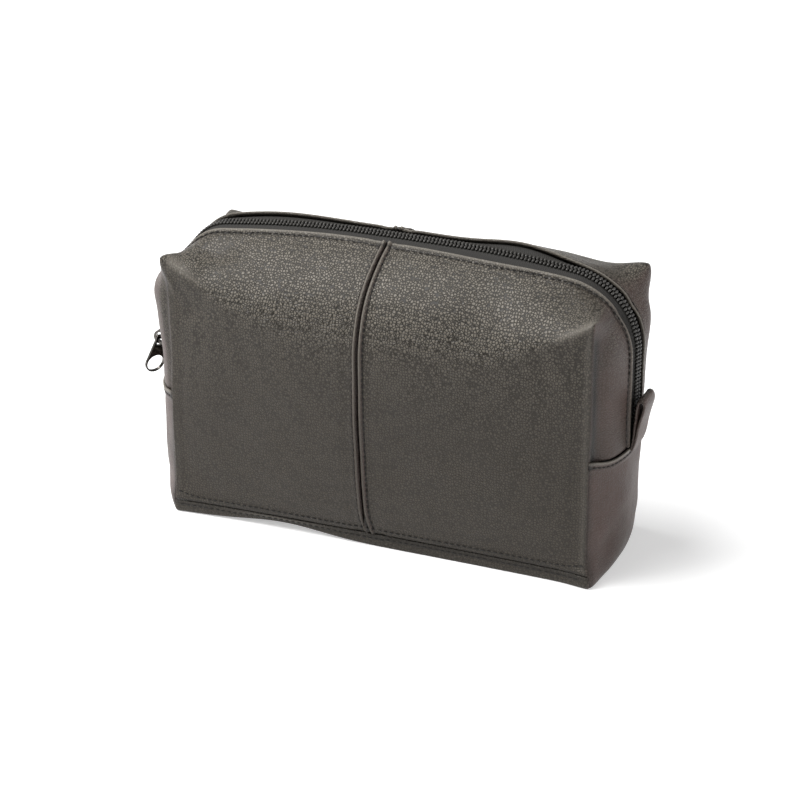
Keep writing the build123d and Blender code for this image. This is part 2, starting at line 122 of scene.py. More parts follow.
def makeZipTable():
    # the zip line from the left hem over the top to the right hem
    (lx, lz), (rx, rz) = cornerCentre(-1), cornerCentre(1)
    leftLean, rightLean = atan2(-lx, lz - crownZ), atan2(rx, rz - crownZ)
    small, large, hem = bagForm["cornerRadius"], bagForm["ridgeRadius"], bagForm["hemHeight"]
    rows = [(-bagForm["leftReach"], z, -1.0, 0.0) for z in np.linspace(hem - 6, lz, 60)]
    left, right = pi / 2 + leftLean, pi / 2 - rightLean
    arcs = ((lx, lz, small, pi, left, 90), (0, crownZ, large, left, right, 200), (rx, rz, small, right, 0, 90))
    for x, z, radius, first, last, count in arcs:
        turns = np.linspace(first, last, count)[1:]
        rows += [(x + radius * cos(a), z + radius * sin(a), cos(a), sin(a)) for a in turns]
    rows += [(bagForm["rightReach"], z, 1.0, 0.0) for z in np.linspace(rz, hem - 6, 60)[1:]]
    table = np.array(rows)
    # the zip has sunk at the left corner, by its turn in radians, and at the middle of the top
    turn = np.arctan2(table[:, 3], table[:, 2])
    sunk = profile(zipSunk["corner"], turn) + profile(zipSunk["middle"], table[:, 0]) * (table[:, 1] > 130)
    table[:, 0] -= table[:, 2] * sunk
    table[:, 1] -= table[:, 3] * sunk
    steps = np.hypot(np.diff(table[:, 0]), np.diff(table[:, 1]))
    return {"run": np.concatenate([[0], np.cumsum(steps)]), "rows": table}


zipTable = makeZipTable()
zipLength = zipTable["run"][-1]


def onZip(run):
    # x, z and the outward direction at a distance along the zip line
    return [np.interp(run, zipTable["run"], zipTable["rows"][:, k]) for k in range(4)]


def runAtX(x):
    # distance along the zip line over a place on the top
    rows = zipTable["rows"]
    top = (rows[:, 1] > 105) & (np.abs(rows[:, 2]) < 0.999)
    return np.interp(x, rows[top, 0], zipTable["run"][top])


def endReach(end, z):
    # how far the end stands out at a height, at the zip's plane
    cx, cz = cornerCentre(end)
    reach = reachOf(end)
    low = np.clip(z, 0.0, bagForm["hemHeight"]) / bagForm["hemHeight"]
    full = np.clip((z + 3.0) / 28.0, 0.0, 1.0)
    out = (1 - (1 - full) ** 2.0) ** 0.45 * (0.89 + 0.11 * low)
    foot = bagForm["creaseHalf"] + (reach - bagForm["creaseHalf"]) * out
    over = np.clip(z - cz, 0.0, bagForm["cornerRadius"])
    turned = abs(cx) + np.sqrt(np.maximum(bagForm["cornerRadius"] ** 2 - over ** 2, 0.0))
    return np.where(z < bagForm["hemHeight"], foot, turned)


def swell(x):
    return 1.0 - np.clip(np.abs(x) / bagForm["creaseHalf"], 0, 1) ** 2


wallFit = np.polyfit([z for y, z in wallMiddle], [y for y, z in wallMiddle], 5)
topSteps = np.hypot(*np.diff(np.array(topMiddle), axis=0).T)
topShare = np.concatenate([[0], np.cumsum(topSteps)]) / topSteps.sum()
topFitY = np.polyfit(topShare, [y for y, z in topMiddle], 4)
topFitZ = np.polyfit(topShare, [z for y, z in topMiddle], 4)


# the leather's edge beside the zip, front (-1) and back (1)
edgeForm = {
    -1: {"drop": 0.9, "dropWaves": [(50, 25, 0.6)], "acrossWaves": [(-25, 42, -2.0), (52, 25, 0.8)]},
    1: {"drop": 1.2, "dropWaves": [(-70, 44, -4.0), (61, 25, -5.0), (6, 38, -2.4)], "acrossWaves": [(0, 60, -1.2)]},
}


def edgeDrop(x, side):
    # how far the edge lies below the zip line
    return edgeForm[side]["drop"] + 0.9 * swell(x) + profile(edgeForm[side]["dropWaves"], x)


def edgeAcross(x, side):
    # and how far out from the zip's middle
    return bagForm["zipOpening"] + profile(edgeForm[side]["acrossWaves"], x)


def shoulderHeight(x, side):
    if side < 0:
        return bagForm["earHeight"] + (bagForm["shoulderMiddle"] - bagForm["earHeight"]) * swell(x)
    return bagForm["earHeight"] - 16.0 * smoothStep(0.42, 1.0, swell(x)) + 3.0 * bump(86, 22, x)


def wallPlace(x, share, side=-1):
    # share 0 at the base seam, hemShare at the hem's height, 1 at the shoulder
    hem, low, ear = bagForm["hemHeight"], bagForm["baseWrap"], bagForm["earHeight"]
    shares = [0, bagForm["hemShare"], 1]
    zMiddle = np.interp(share, shares, [low, hem, bagForm["shoulderMiddle"]])
    zCrease = np.interp(share, shares, [low, hem, ear])
    yMiddle = np.polyval(wallFit, zMiddle)
    yCrease = bagForm["depthHalf"] + 0.4 * np.sin(pi * (zCrease - low) / (ear - low))
    w = swell(x)
    y, z = yCrease + (yMiddle - yCrease) * w, zCrease + (zMiddle - zCrease) * w
    if side > 0:
        above = np.clip((share - bagForm["hemShare"]) / (1 - bagForm["hemShare"]), 0, 1)
        z = z + (shoulderHeight(x, 1) - shoulderHeight(x, -1)) * above
        y = y - 2.6 * w * above ** 2
    return y, z


def topPlace(x, share, side=-1):
    # share 0 at the shoulder, 1 at the leather's edge by the zip; near an ear it fans out
    fan = np.where(x < 0, 3.8, 1.4) * smoothStep(78, 112.5, np.abs(x))
    edgeX = x + np.sign(x) * fan
    run = runAtX(edgeX)
    zx, zz, nx, nz = onZip(run)
    drop = edgeDrop(edgeX, side)
    ex, ez = zx - nx * drop, zz - nz * drop
    edgeY = edgeAcross(edgeX, side)
    y0, z0 = wallPlace(x, 1.0, side)
    w = swell(x)
    lift = 0.8 * 4 * share * (1 - share)
    yCrease = y0 + (edgeY - y0) * share
    zCrease = z0 + (ez - z0) * share + lift
    middleY, middleZ = np.polyval(topFitY, share), np.polyval(topFitZ, share)
    yMiddle = y0 + (edgeY - y0) * (topMiddle[0][0] - middleY) / (topMiddle[0][0] - topMiddle[-1][0])
    zMiddle = z0 + (ez - z0) * (middleZ - topMiddle[0][1]) / (topMiddle[-1][1] - topMiddle[0][1])
    y = yCrease + (yMiddle - yCrease) * w
    z = zCrease + (zMiddle - zCrease) * w
    return x + (ex - x) * share ** 1.3, y, z


def endPlace(end, z, y):
    # the end's bulge at a height, across from crease to crease
    half = np.interp(z, [0, bagForm["baseWrap"], 40, bagForm["earHeight"]], [36.5, 38.0, 38.2, 38.0])
    forward = np.where(np.asarray(y) < 0, 1.0, 0.0)
    atFront = 0.35 * (1 - smoothStep(28, 68, z)) + 1.5 * (1 - smoothStep(4, 20, z))
    power = 2.1 + atFront * forward + (1.3 if end < 0 else 0.3) * bump(116, 26, z)
    bulge = 1 - np.abs(np.clip(y / half, -1, 1)) ** power
    return end * (bagForm["creaseHalf"] + (endReach(end, z) - bagForm["creaseHalf"]) * bulge), half


# the leather skin: one net for the front and one for the back

skinNet = {
    "columnStep": 2.0,          # away from the centre seam
    "seamStep": 0.55,
    "seamBand": 6.0,
    "lowRows": 30,
    "highRows": 38,
    "topShares": list(np.linspace(0, 0.86, 23)) + list(np.linspace(0.88, 1.0, 9)),
    "roundShoulder": 60,        # smoothing passes
    "tightCrease": 2,
}


def columnPlaces():
    half, seam, band = bagForm["creaseHalf"], bagForm["seamX"], skinNet["seamBand"]
    left = np.linspace(-half, seam - band, int((seam - band + half) / skinNet["columnStep"]))
    middle = np.linspace(seam - band, seam + band, int(2 * band / skinNet["seamStep"]) + 1)
    middle[np.argmin(np.abs(middle - seam))] = seam
    right = np.linspace(seam + band, half, int((half - seam - band) / skinNet["columnStep"]))
    return np.concatenate([left, middle[1:], right[1:]])


def addGrid(bm, columns, rows):
    # a flat grid whose vertices come back as an array of [row, column]
    made = bmesh.ops.create_grid(bm, x_segments=columns - 1, y_segments=rows - 1, size=1)["verts"]
    order = sorted(made, key=lambda v: (round(v.co.y * 4000), round(v.co.x * 4000)))
    return [order[r * columns:(r + 1) * columns] for r in range(rows)]


def paintLayers(bm, labels):
    # all are made first, because a new layer makes the older handles invalid
    for label in labels:
        bm.verts.layers.float.new(label)
    return [bm.verts.layers.float[label] for label in labels]


def makeSkin(side):
    # side -1 is the front, +1 the back; a bmesh in millimetres that knows its distance from the zip
    bm = bmesh.new()
    gapLayer = paintLayers(bm, ("zipGap", "edgeWearAndHighlight", "paintedCreviceShade"))[0]
    xs = columnPlaces()
    low = np.linspace(0, bagForm["hemShare"], skinNet["lowRows"])
    high = np.linspace(bagForm["hemShare"], 1, skinNet["highRows"])[1:]
    tops = np.array(skinNet["topShares"])
    wallRows = len(low) + len(high)
    rows = wallRows + len(tops) - 1
    net = addGrid(bm, len(xs), rows)
    earColumns = {}
    for c, x in enumerate(xs):
        y, z = wallPlace(x, np.concatenate([low, high]), side)
        tx, ty, tz = topPlace(x, tops, side)
        px = np.concatenate([np.full(wallRows, x), tx[1:]])
        py, pz = np.concatenate([y, ty[1:]]), np.concatenate([z, tz[1:]])
        reach = float(np.hypot(ty[0] - ty[-1], tz[0] - tz[-1]))
        for r in range(rows):
            v = net[r][c]
            v.co = (px[r], side * py[r], pz[r])
            share = 0.0 if r < wallRows else tops[r - wallRows + 1]
            v[gapLayer] = reach * (1 - share) + (max(0.0, pz[wallRows - 1] - pz[r]) if r < wallRows else 0.0)
        if c in (0, len(xs) - 1):
            earColumns[-1 if c == 0 else 1] = (tx, ty, tz)
    creaseZ = wallPlace(bagForm["creaseHalf"], high)[1][::-1]
    creaseZ = np.append(creaseZ, bagForm["hemHeight"])
    for end in (-1, 1):
        strip = addGrid(bm, len(tops), len(creaseZ))
        tx, ty, tz = earColumns[end]
        for j, z0 in enumerate(creaseZ):
            rise = (tz[-1] - bagForm["earHeight"]) * (1 - smoothStep(0, 34, bagForm["earHeight"] - z0))
            half = float(endPlace(end, z0, 0.0)[1])
            wallShare = np.interp(z0, [bagForm["hemHeight"], bagForm["earHeight"]], [bagForm["hemShare"], 1])
            y0 = wallPlace(bagForm["creaseHalf"], wallShare)[0]
            ys = y0 + (bagForm["zipOpening"] - y0) * tops
            zs = z0 + rise * tops
            ex = endPlace(end, np.minimum(zs, tz[-1] + 1), ys * half / y0)[0]
            if j == 0:
                gapX, gapY, gapZ = tx - ex, ty - ys, tz - zs
            near = 1 - smoothStep(0, 26, bagForm["earHeight"] - z0)
            reach = float(np.hypot(ys[0] - ys[-1], ex[0] - ex[-1]))
            for t in range(len(tops)):
                v = strip[j][t]
                v.co = (ex[t] + gapX[t] * near, side * (ys[t] + gapY[t] * near), zs[t] + gapZ[t] * near)
                v[gapLayer] = reach * (1 - tops[t])
    bmesh.ops.remove_doubles(bm, verts=bm.verts, dist=0.02)
    return bm


def places(bm):
    bm.verts.ensure_lookup_table()
    bm.verts.index_update()
    return np.array([v.co for v in bm.verts])


def setPlaces(bm, co):
    for v, p in zip(bm.verts, co):
        v.co = p
    bm.normal_update()


def relax(bm, weights, passes):
    # each vertex drifts to the middle of its neighbours, as far as its weight allows
    co = places(bm)
    pairs = np.array([(e.verts[0].index, e.verts[1].index) for e in bm.edges])
    count = np.bincount(pairs.ravel(), minlength=len(co)).astype(float)
    w = weights[:, None] * 0.5
    for _ in range(passes):
        total = np.zeros_like(co)
        for axis in range(3):
            total[:, axis] = (np.bincount(pairs[:, 0], co[pairs[:, 1], axis], len(co))
                              + np.bincount(pairs[:, 1], co[pairs[:, 0], axis], len(co)))
        co += (total / count[:, None] - co) * w
    setPlaces(bm, co)
    return co


def edgeMask(bm):
    # 0 on the open border and 1 inside
    mask = np.ones(len(bm.verts))
    for v in bm.verts:
        if v.is_boundary:
            mask[v.index] = 0
    return mask


def faceOut(bm, near, outward):
    # turns the faces so that the one nearest a place looks outward
    bmesh.ops.recalc_face_normals(bm, faces=bm.faces)
    bm.faces.ensure_lookup_table()
    probe = min(bm.faces, key=lambda f: (f.calc_center_median() - Vector(near)).length)
    if probe.normal.dot(Vector(outward)) < 0:
        bmesh.ops.reverse_faces(bm, faces=bm.faces)
    bm.normal_update()


# how far the left (-1) and right (1) front foot spread, outwards and forwards
footPush = {-1: (1.3, 0.5), 1: (2.8, 2.2)}
# how far the ears at the folds' tops stand out, sideways, across and up
earPush = {-1: {-1: (4.4, 0.8, 2.6), 1: (1.6, 1.0, 2.0)}, 1: {-1: (2.6, 1.0, 2.4), 1: (3.8, 1.0, 4.4)}}


def spreadFoot(co):
    for end, (dx, dy) in footPush.items():
        tip = np.array([end * bagForm["creaseHalf"], -37.0, 3.0])
        pull = bump(0, 9, np.sqrt(((co - tip) ** 2).sum(-1)))
        co = co + pull[..., None] * np.array([end * dx, -dy, 0])
    return co


def shapeSkin(bm, side):
    co = places(bm)
    inside = edgeMask(bm)
    x, z = co[:, 0], co[:, 2]
    onTop = np.abs(x) <= bagForm["creaseHalf"] + 0.01
    near = bump(0, 20, z - shoulderHeight(x, side)) * swell(x) ** 1.3 * onTop
    relax(bm, inside * near, skinNet["roundShoulder"])
    co = places(bm)
    across = (np.abs(co[:, 1]) - 19) ** 2 + (co[:, 2] - 141) ** 2
    aroundEar = sum(bump(0, 13, np.sqrt((co[:, 0] - end * 114) ** 2 + across)) for end in (-1, 1))
    co = relax(bm, inside * np.clip(aroundEar, 0, 1) * 0.8, 14)
    for end, (dx, dy, dz) in earPush[side].items():
        tip = np.array([end * bagForm["creaseHalf"], side * bagForm["depthHalf"], bagForm["earHeight"]])
        pull = bump(0, 11, np.sqrt(((co - tip) ** 2).sum(1)))
        co += pull[:, None] * np.array([end * dx, side * dy, dz])
    co = spreadFoot(co)
    setPlaces(bm, co)
    return co


print("form: skin nets")
skins = {-1: makeSkin(-1), 1: makeSkin(1)}
for side, bm in skins.items():
    shapeSkin(bm, side)
    faceOut(bm, (0, 45 * side, 90), (0, side, 0))


def seamLine(z):
    # the centre seam curves to the right near the base
    return bagForm["seamX"] + 5.0 * max(0.0, 1 - z / 26.0) ** 2.2


def unevenness(p, size, seed):
    return noise(Vector((p[0] / size + seed, p[1] / size, p[2] / size)))


# hollows and swellings as x, y, z, size and depth
dents = {
    -1: [(-90, -24, 145, 9, 2.4), (-98, -23, 145, 6, 1.2), (-78, -34, 137, 8, -0.8), (96, -22, 145, 10, 1.6),
         (60, -36, 130, 14, 0.9), (-60, -43, 118, 16, -0.8), (88, -40, 118, 12, 1.0), (-100, -38, 120, 12, 0.8),
         (30, -46, 60, 26, 0.8), (-60, -44, 50, 24, 0.7), (-127, -23, 125, 12, -2.4), (-118, -32, 134, 7, -2.2),
         (-102, -34, 136, 7, -0.9), (118, -24, 112, 15, 1.3), (119, -22, 86, 12, 0.9)],
    1: [(88, 26, 146, 9, 1.2), (-88, 26, 145, 10, 1.2), (10, 44, 110, 22, 1.0), (-50, 44, 60, 22, 0.8),
        (60, 44, 70, 24, 0.9), (120, 27, 130, 15, -3.8), (121, 26, 104, 12, -0.6)],
}

# reliefs along the skin's normals, as place, width and height; places count from each feature's own line
relief = {
    "centreSeam": [(-1.6, 0.9, 1.0), (1.6, 0.9, 1.0), (0, 0.75, -0.9), (3.1, 0.6, -0.5), (-2.9, 0.6, -0.45),
                   (6.5, 2.2, -0.5), (-6, 2.5, -0.4)],
    "zipEdge": [(0.9, 1.1, 0.7), (2.9, 0.75, -0.7), (6.0, 2.5, -0.25)],
    "baseSeam": [(8.3, 0.9, 0.5), (10.2, 0.7, -0.35)],
    "fold": [(0, 1.3, 0.9), (-5.0, 3.5, -0.5)],
    "besideFold": [(3.2, 2.4, -1.7)],
}
# where the leather is painted light, as edge wear with painted highlight on the zip's edge, the seam's ridges, the
# folds and the shoulder's crest, and where painted shade darkens the grooves and creases
rubbedAndLit = {"zipEdge": [(0.7, 0.95, 0.8)], "centreSeam": [(-1.6, 0.6, 1.0), (1.6, 0.6, 1.0)],
          "fold": [(-1.0, 0.9, 0.4)], "litCrest": 0.55}
paintedShade = {"centreSeam": [(0, 0.8, 0.95), (-2.9, 0.5, 0.55), (3.1, 0.5, 0.5)], "zipEdge": [(2.9, 0.6, 0.6)],
        "fold": [(1.8, 1.5, 0.95)], "baseSeam": [(7.0, 0.7, 0.55), (10.3, 0.6, 0.45)]}


def sculptSkin(bm, side):
    # seams, folds, stitch lines and the broad sag of soft leather, all along the normals
    gapLayer, wearHighlightLayer, creviceShadeLayer = (bm.verts.layers.float[label] for label in ("zipGap", "edgeWearAndHighlight", "paintedCreviceShade"))
    bm.verts.ensure_lookup_table()
    moved = []
    for v in bm.verts:
        x, y, z = v.co
        onEnd = abs(x) > bagForm["creaseHalf"] + 1.0
        gap = v[gapLayer]
        onFace = 0.0 if onEnd else 1.0
        fromSeam = x - seamLine(z)
        toFold = abs(x) - bagForm["creaseHalf"]
        alongFold = ramp(6, 20, z) * (1 - ramp(128, 141, z))
        d = profile(relief["zipEdge"], gap)
        d += onFace * (profile(relief["centreSeam"], fromSeam) + profile(relief["baseSeam"], z))
        # the vertical folds stand proud, with a hollow beside them on the ends
        hollow = profile(relief["besideFold"], toFold) if onEnd or toFold > 0.4 else 0.0
        d += alongFold * (profile(relief["fold"], toFold) + hollow)
        # light ridges and dark grooves for the leather's colour: edge wear with painted highlight on the ridges,
        # brighter higher up where the light falls, and painted shade in the grooves and beside the folds
        high = ramp(50, 122, z)
        # a painted highlight along the shoulder's crest near the ears
        litCrest = bump(0, 2.0, z - float(shoulderHeight(x, side)) - 0.5) * ramp(30, 36, abs(y))
        litCrest *= onFace * ramp(84, 110, abs(x))
        wearHighlight = profile(rubbedAndLit["zipEdge"], gap) * (0.45 + 0.55 * high) + rubbedAndLit["litCrest"] * litCrest
        wearHighlight += onFace * (0.3 + 0.45 * high) * profile(rubbedAndLit["centreSeam"], fromSeam)
        v[wearHighlightLayer] = min(1.0, wearHighlight + alongFold * profile(rubbedAndLit["fold"], toFold))
        # painted shade in the centre seam's grooves, along the zip's stitch line, beside the folds and at the base seam
        shadeAmount = onFace * (profile(paintedShade["centreSeam"], fromSeam) + profile(paintedShade["baseSeam"], z))
        shadeAmount += alongFold * profile(paintedShade["fold"], toFold) * (1.0 if side < 0 else 0.5)
        v[creviceShadeLayer] = min(1.0, shadeAmount + profile(paintedShade["zipEdge"], gap))
        for *spot, size, depth in dents[side]:
            d -= depth * bump(0, size, distanceTo(spot, (x, y, z)))
        # broad sag and small puckers
        soft = unevenness(v.co, 46, 3.1) + 0.45 * unevenness(v.co, 19, 8.7)
        still = smoothStep(2, 16, gap) * smoothStep(7, 22, z)
        d += soft * float(still)
        moved.append(v.co + v.normal * float(d))
    setPlaces(bm, moved)


for side, bm in skins.items():
    sculptSkin(bm, side)


def toObject(bm, name, material, smooth=True):
    for v in bm.verts:
        v.co *= mm
    mesh = bpy.data.meshes.new(name)
    bm.to_mesh(mesh)
    bm.free()
    if smooth:
        mesh.polygons.foreach_set("use_smooth", [True] * len(mesh.polygons))
    obj = bpy.data.objects.new(name, mesh)
    bpy.context.scene.collection.objects.link(obj)
    mesh.materials.append(material)
    return obj


def applyModifiers(obj):
    bpy.context.view_layer.update()
    deps = bpy.context.evaluated_depsgraph_get()
    mesh = bpy.data.meshes.new_from_object(obj.evaluated_get(deps))
    old = obj.data
    obj.modifiers.clear()
    obj.data = mesh
    mesh.name = obj.name
    bpy.data.meshes.remove(old)
    return obj


# materials

def newMaterial(name):
    # with its node tree, its shader and the object's own coordinates
    material = bpy.data.materials.new(name)
    material.use_nodes = True
    tree = material.node_tree
    coord = addNode(tree, "TexCoord", (-1500, 0))
    return material, tree, tree.nodes["Principled BSDF"], coord.outputs["Object"]


def addNode(tree, kind, at, settings=None, inputs=None):
    made = tree.nodes.new("ShaderNode" + kind)
    made.location = at
    for key, value in (settings or {}).items():
        setattr(made, key, value)
    for key, value in (inputs or {}).items():
        if isinstance(value, bpy.types.NodeSocket):
            tree.links.new(value, made.inputs[key])
        else:
            made.inputs[key].default_value = value
    return made


def mixColour(tree, at, factor, first, second):
    node = addNode(tree, "Mix", at, {"data_type": "RGBA"}, {"Factor": factor, 6: first, 7: second})
    return node.outputs[2]


def calculate(tree, at, operation, first, second):
    return addNode(tree, "Math", at, {"operation": operation}, {0: first, 1: second}).outputs[0]


def mapRange(tree, at, value, toMin, toMax, fromMin=0.0, fromMax=1.0, kind="LINEAR"):
    limits = {"Value": value, "From Min": fromMin, "From Max": fromMax, "To Min": toMin, "To Max": toMax}
    return addNode(tree, "MapRange", at, {"interpolation_type": kind}, limits).outputs[0]


def addBump(tree, at, height, strength, distance, shader):
    node = addNode(tree, "Bump", at, inputs={"Height": height, "Strength": strength, "Distance": distance})
    tree.links.new(node.outputs["Normal"], shader.inputs["Normal"])


def newGroup(name, inputs, outputs):
    group = bpy.data.node_groups.new(name, "ShaderNodeTree")
    for label, kind, value in inputs:
        socket = group.interface.new_socket(label, in_out="INPUT", socket_type=kind)
        if value is not None:
            socket.default_value = value
    for label, kind in outputs:
        group.interface.new_socket(label, in_out="OUTPUT", socket_type=kind)
    return group, group.nodes.new("NodeGroupInput"), group.nodes.new("NodeGroupOutput")


def pebbleGroup():
    # leather grain: rounded cells of about a millimetre with dark gaps between them
    group, inside, out = newGroup(
        "pebbleGrain",
        [("Vector", "NodeSocketVector", None), ("Cells", "NodeSocketFloat", 700.0),
         ("Warp", "NodeSocketFloat", 0.0004)],
        [("Height", "NodeSocketFloat")],
    )
    wobble = addNode(group, "TexNoise", (-700, 200),
                     inputs={"Vector": inside.outputs["Vector"], "Scale": 520.0, "Detail": 2.0})
    centred = addNode(group, "VectorMath", (-540, 200), {"operation": "SUBTRACT"},
                      {0: wobble.outputs["Color"], 1: (0.5, 0.5, 0.5)})
    scaled = addNode(group, "VectorMath", (-380, 200), {"operation": "SCALE"},
                     {0: centred.outputs[0], "Scale": inside.outputs["Warp"]})
    place = addNode(group, "VectorMath", (-220, 200), {"operation": "ADD"},
                    {0: inside.outputs["Vector"], 1: scaled.outputs[0]})
    cells = {"Vector": place.outputs[0], "Scale": inside.outputs["Cells"], "Randomness": 0.8}
    edge = addNode(group, "TexVoronoi", (0, 260), {"feature": "DISTANCE_TO_EDGE"}, cells)
    cell = addNode(group, "TexVoronoi", (0, -40), {"feature": "F1"}, cells)
    rounded = mapRange(group, (200, 260), edge.outputs["Distance"], 0.0, 1.0, 0.02, 0.25, "SMOOTHSTEP")
    shade = addNode(group, "SeparateColor", (200, -40), inputs={0: cell.outputs["Color"]})
    tall = mapRange(group, (400, -40), shade.outputs[0], 0.72, 1.0)
    group.links.new(calculate(group, (600, 160), "MULTIPLY", rounded, tall), out.inputs["Height"])
    return group


def weaveGroup():
    # plain weave: two sets of threads that pass over each other in turn
    group, inside, out = newGroup(
        "plainWeave", [("Vector", "NodeSocketVector", None), ("Threads", "NodeSocketFloat", 1600.0)],
        [("Height", "NodeSocketFloat"), ("Gap", "NodeSocketFloat")],
    )
    scaled = addNode(group, "VectorMath", (-600, 0), {"operation": "SCALE"},
                     {0: inside.outputs["Vector"], "Scale": inside.outputs["Threads"]})
    split = addNode(group, "SeparateXYZ", (-440, 0), inputs={0: scaled.outputs[0]})
    across = addNode(group, "Math", (-280, 100), {"operation": "SINE"}, {0: split.outputs["X"]})
    along = addNode(group, "Math", (-280, -100), {"operation": "SINE"}, {0: split.outputs["Z"]})
    product = calculate(group, (-120, 0), "MULTIPLY", across.outputs[0], along.outputs[0])
    height = mapRange(group, (40, 0), product, 0.0, 1.0, -1.0, 1.0)
    group.links.new(height, out.inputs["Height"])
    group.links.new(calculate(group, (200, -120), "SUBTRACT", 1.0, height), out.inputs["Gap"])
    return group


pebbleGrain = pebbleGroup()
plainWeave = weaveGroup()

# the raised colour is a painted highlight on the pebbles' tops and the gap colour a painted shade between them; the
# worn colour stands for edge wear with painted highlight, the crevice colour for painted shade, and the warm colour for
# the side lamp's warm light painted onto the ends
leatherLook = {
    "raised": (0.186, 0.166, 0.136, 1),
    "ground": (0.0420, 0.0334, 0.0246, 1),
    "gap": (0.012, 0.010, 0.007, 1),
    "wornAndLit": (0.215, 0.196, 0.168, 1),
    "paintedCreviceShade": (0.007, 0.006, 0.005, 1),
    "warmSideLight": (0.112, 0.072, 0.064, 1),
    "roughness": (0.37, 0.49),
    "bump": 0.8,
}


def makeLeather(name, look, grain=1.0, sideLightWarmth=0.0):
    material, tree, shader, here = newMaterial(name)
    grainNode = addNode(tree, "Group", (-1200, 0), {"node_tree": pebbleGrain}, {"Vector": here})
    painted = {}
    for row, label in enumerate(("litGrainShare", "sideLightTint", "edgeWearAndHighlight", "paintedCreviceShade")):
        layer = addNode(tree, "Attribute", (-1500, -260 - 160 * row), {"attribute_name": label})
        painted[label] = layer.outputs["Fac"]
    cloud = addNode(tree, "TexNoise", (-1500, 220), inputs={"Vector": here, "Scale": 38.0, "Detail": 3.0})
    # pebbles and the gaps between them, with a painted highlight on the pebbles and painted shade in the gaps where the
    # painted light mask is strong
    litAmount = calculate(tree, (-1200, -260), "MULTIPLY", painted["litGrainShare"], grain)
    strength = mapRange(tree, (-1100, -100), litAmount, 0.45, 1.0)
    litPebbles = mixColour(tree, (-960, 220), litAmount, look["ground"], look["raised"])
    shadedGaps = mixColour(tree, (-960, 0), strength, look["ground"], look["gap"])
    gapped = mixColour(tree, (-740, 120), grainNode.outputs["Height"], shadedGaps, litPebbles)
    # the side lamp's warm light painted onto the ends, edge wear with painted highlight, and painted shade in the
    # crevices
    warmSum = calculate(tree, (-1100, -520), "ADD", painted["sideLightTint"], sideLightWarmth)
    warmMask = calculate(tree, (-960, -420), "MULTIPLY", cloud.outputs["Fac"], warmSum)
    warmed = mixColour(tree, (-340, 40), warmMask, gapped, look["warmSideLight"])
    wornAndLit = mixColour(tree, (-160, 120), painted["edgeWearAndHighlight"], warmed, look["wornAndLit"])
    tree.links.new(mixColour(tree, (20, 120), painted["paintedCreviceShade"], wornAndLit, look["paintedCreviceShade"]), shader.inputs["Base Color"])
    shader.location, tree.nodes["Material Output"].location = (240, 120), (520, 120)
    smooth, rough = look["roughness"]
    uneven = mapRange(tree, (-540, -200), cloud.outputs["Fac"], smooth, rough, 0.3, 0.7)
    tree.links.new(uneven, shader.inputs["Roughness"])
    tall = calculate(tree, (-540, -420), "MULTIPLY", grainNode.outputs["Height"], strength)
    addBump(tree, (-240, -400), tall, look["bump"], 0.0004, shader)
    shader.inputs["Specular IOR Level"].default_value = 0.3
    return material


def makeCloth(name, colour, gapColour, threads, roughness, bumpStrength):
    material, tree, shader, here = newMaterial(name)
    weave = addNode(tree, "Group", (-900, 0), {"node_tree": plainWeave},
                    {"Vector": here, "Threads": threads})
    tree.links.new(mixColour(tree, (-600, 80), weave.outputs["Gap"], colour, gapColour), shader.inputs["Base Color"])
    rough = mapRange(tree, (-600, -120), weave.outputs["Height"], roughness, roughness - 0.1)
    tree.links.new(rough, shader.inputs["Roughness"])
    addBump(tree, (-300, -300), weave.outputs["Height"], bumpStrength, 0.0003, shader)
    return material


def dimmed(colour, share):
    return tuple(c * share for c in colour[:3]) + (1,)


def makeMetal(name, colour, roughness):
    material, tree, shader, here = newMaterial(name)
    smear = addNode(tree, "TexNoise", (-900, 0), inputs={"Vector": here, "Scale": 900.0, "Detail": 4.0})
    rough = mapRange(tree, (-600, -100), smear.outputs["Fac"], roughness * 0.6, roughness * 1.4)
    tint = mixColour(tree, (-600, 120), smear.outputs["Fac"], colour, dimmed(colour, 0.8))
    tree.links.new(tint, shader.inputs["Base Color"])
    tree.links.new(rough, shader.inputs["Roughness"])
    shader.inputs["Metallic"].default_value = 1.0
    return material


def makeThread(name, colour, roughness):
    material, tree, shader, here = newMaterial(name)
    twist = addNode(tree, "TexWave", (-800, 0), inputs={"Vector": here, "Scale": 900.0, "Distortion": 2.0})
    tint = mixColour(tree, (-500, 80), twist.outputs["Fac"], colour, dimmed(colour, 0.45))
    tree.links.new(tint, shader.inputs["Base Color"])
    addBump(tree, (-300, -200), twist.outputs["Fac"], 0.4, 0.0002, shader)
    shader.inputs["Roughness"].default_value = roughness
    return material


frontLeather = makeLeather("pebbledLeather", leatherLook)
# the gussets and the tab also get some of the side lamp's warm light painted on all over
gussetLeather = makeLeather("gussetLeather", leatherLook, grain=0.8, sideLightWarmth=0.1)
tabLeather = makeLeather("tabLeather", dict(leatherLook, ground=(0.085, 0.068, 0.058, 1)), grain=0.8, sideLightWarmth=0.25)
liningCloth = makeCloth("liningCloth", (0.016, 0.016, 0.017, 1), (0.006, 0.006, 0.007, 1), 9000.0, 0.75, 0.5)
tapeCloth = makeCloth("tapeCloth", (0.026, 0.024, 0.021, 1), (0.009, 0.008, 0.007, 1), 7000.0, 0.85, 0.6)
coilPlastic = makeThread("coilFilament", (0.062, 0.058, 0.052, 1), 0.38)
darkNickel = makeMetal("darkNickel", (0.10, 0.093, 0.085, 1), 0.16)
threadLook = makeThread("sewingThread", (0.014, 0.012, 0.010, 1), 0.8)


